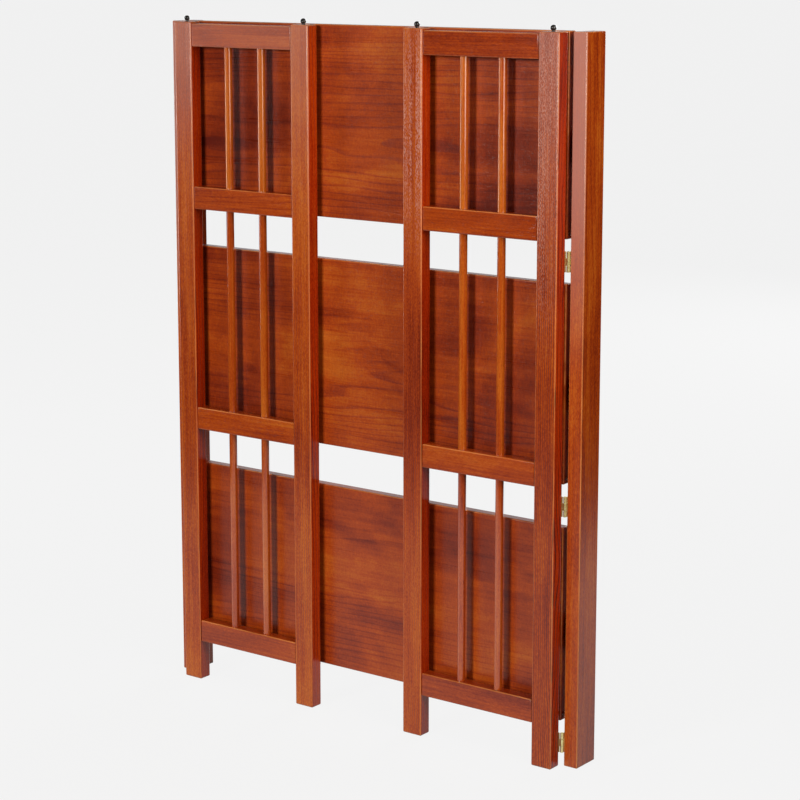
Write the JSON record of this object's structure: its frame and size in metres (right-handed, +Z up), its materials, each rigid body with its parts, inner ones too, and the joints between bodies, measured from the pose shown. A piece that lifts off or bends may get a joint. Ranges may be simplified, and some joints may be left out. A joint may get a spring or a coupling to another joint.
{
  "type": "folding bookcase",
  "caption": "Folding slatted bookcase, stored flat: hinged side panels closed in front of shelves turned up between the rear posts.",
  "frame": {"origin": "on the floor, at the middle of the folded bookcase's outline", "axes": "+Z up, +X to the viewer's right across the bookcase's width, +Y from the closed side panels towards the back"},
  "size_m": [0.698, 0.0684, 0.9735],
  "materials": {
    "wood": "satin lacquer over a reddish mahogany stain",
    "brass": "polished",
    "black_metal": "gloss black"
  },
  "bodies": {
    "rear_frame": {"left_rear_post": "wood", "left_bottom_hinge_post_leaf": "brass", "left_middle_hinge_post_leaf": "brass", "left_top_hinge_post_leaf": "brass", "right_rear_post": "wood", "right_bottom_hinge_post_leaf": "brass", "right_middle_hinge_post_leaf": "brass", "right_top_hinge_post_leaf": "brass", "bottom_back_rail": "wood", "middle_back_rail": "wood", "top_back_rail": "wood"},
    "left_panel": {"left_panel_hinge_post": "wood", "left_panel_free_post": "wood", "left_panel_foot_rail": "wood", "left_panel_lower_rail": "wood", "left_panel_upper_rail": "wood", "left_panel_crown_rail": "wood", "left_panel_lower_slat_1": "wood", "left_panel_lower_slat_2": "wood", "left_panel_middle_slat_1": "wood", "left_panel_middle_slat_2": "wood", "left_panel_upper_slat_1": "wood", "left_panel_upper_slat_2": "wood", "left_hinge_post_stacking_pin": "black_metal", "left_free_post_stacking_pin": "black_metal", "left_bottom_hinge_panel_leaf": "brass", "left_middle_hinge_panel_leaf": "brass", "left_top_hinge_panel_leaf": "brass", "left_bottom_shelf_peg": "wood", "left_middle_shelf_peg": "wood", "left_top_shelf_peg": "wood"},
    "right_panel": {"right_panel_hinge_post": "wood", "right_panel_free_post": "wood", "right_panel_foot_rail": "wood", "right_panel_lower_rail": "wood", "right_panel_upper_rail": "wood", "right_panel_crown_rail": "wood", "right_panel_lower_slat_1": "wood", "right_panel_lower_slat_2": "wood", "right_panel_middle_slat_1": "wood", "right_panel_middle_slat_2": "wood", "right_panel_upper_slat_1": "wood", "right_panel_upper_slat_2": "wood", "right_hinge_post_stacking_pin": "black_metal", "right_free_post_stacking_pin": "black_metal", "right_bottom_hinge_panel_leaf": "brass", "right_middle_hinge_panel_leaf": "brass", "right_top_hinge_panel_leaf": "brass", "right_bottom_shelf_peg": "wood", "right_middle_shelf_peg": "wood", "right_top_shelf_peg": "wood"},
    "bottom_shelf": {"bottom_shelf": "wood", "bottom_shelf_left_pivot": "brass", "bottom_shelf_right_pivot": "brass"},
    "middle_shelf": {"middle_shelf": "wood", "middle_shelf_left_pivot": "brass", "middle_shelf_right_pivot": "brass"},
    "top_shelf": {"top_shelf": "wood", "top_shelf_left_pivot": "brass", "top_shelf_right_pivot": "brass"}
  },
  "joints": [
    {"name": "left_panel_hinge", "type": "hinge", "parent": "rear_frame", "child": "left_panel", "pos_m": [-0.3263, -0.01145, 0.3534], "axis": [0, 0, -1], "range_deg": [0, 90]},
    {"name": "right_panel_hinge", "type": "hinge", "parent": "rear_frame", "child": "right_panel", "pos_m": [0.3263, -0.01145, 0.3534], "axis": [0, 0, 1], "range_deg": [0, 90]},
    {"name": "bottom_shelf_pivot", "type": "hinge", "parent": "rear_frame", "child": "bottom_shelf", "pos_m": [0, -0.0001, 0.06795], "axis": [1, 0, 0], "range_deg": [0, 1.2]},
    {"name": "middle_shelf_pivot", "type": "hinge", "parent": "rear_frame", "child": "middle_shelf", "pos_m": [0, -0.0001, 0.38895], "axis": [1, 0, 0], "range_deg": [0, 1.2]},
    {"name": "top_shelf_pivot", "type": "hinge", "parent": "rear_frame", "child": "top_shelf", "pos_m": [0, -0.0001, 0.70995], "axis": [1, 0, 0], "range_deg": [0, 1.2]}
  ]
}
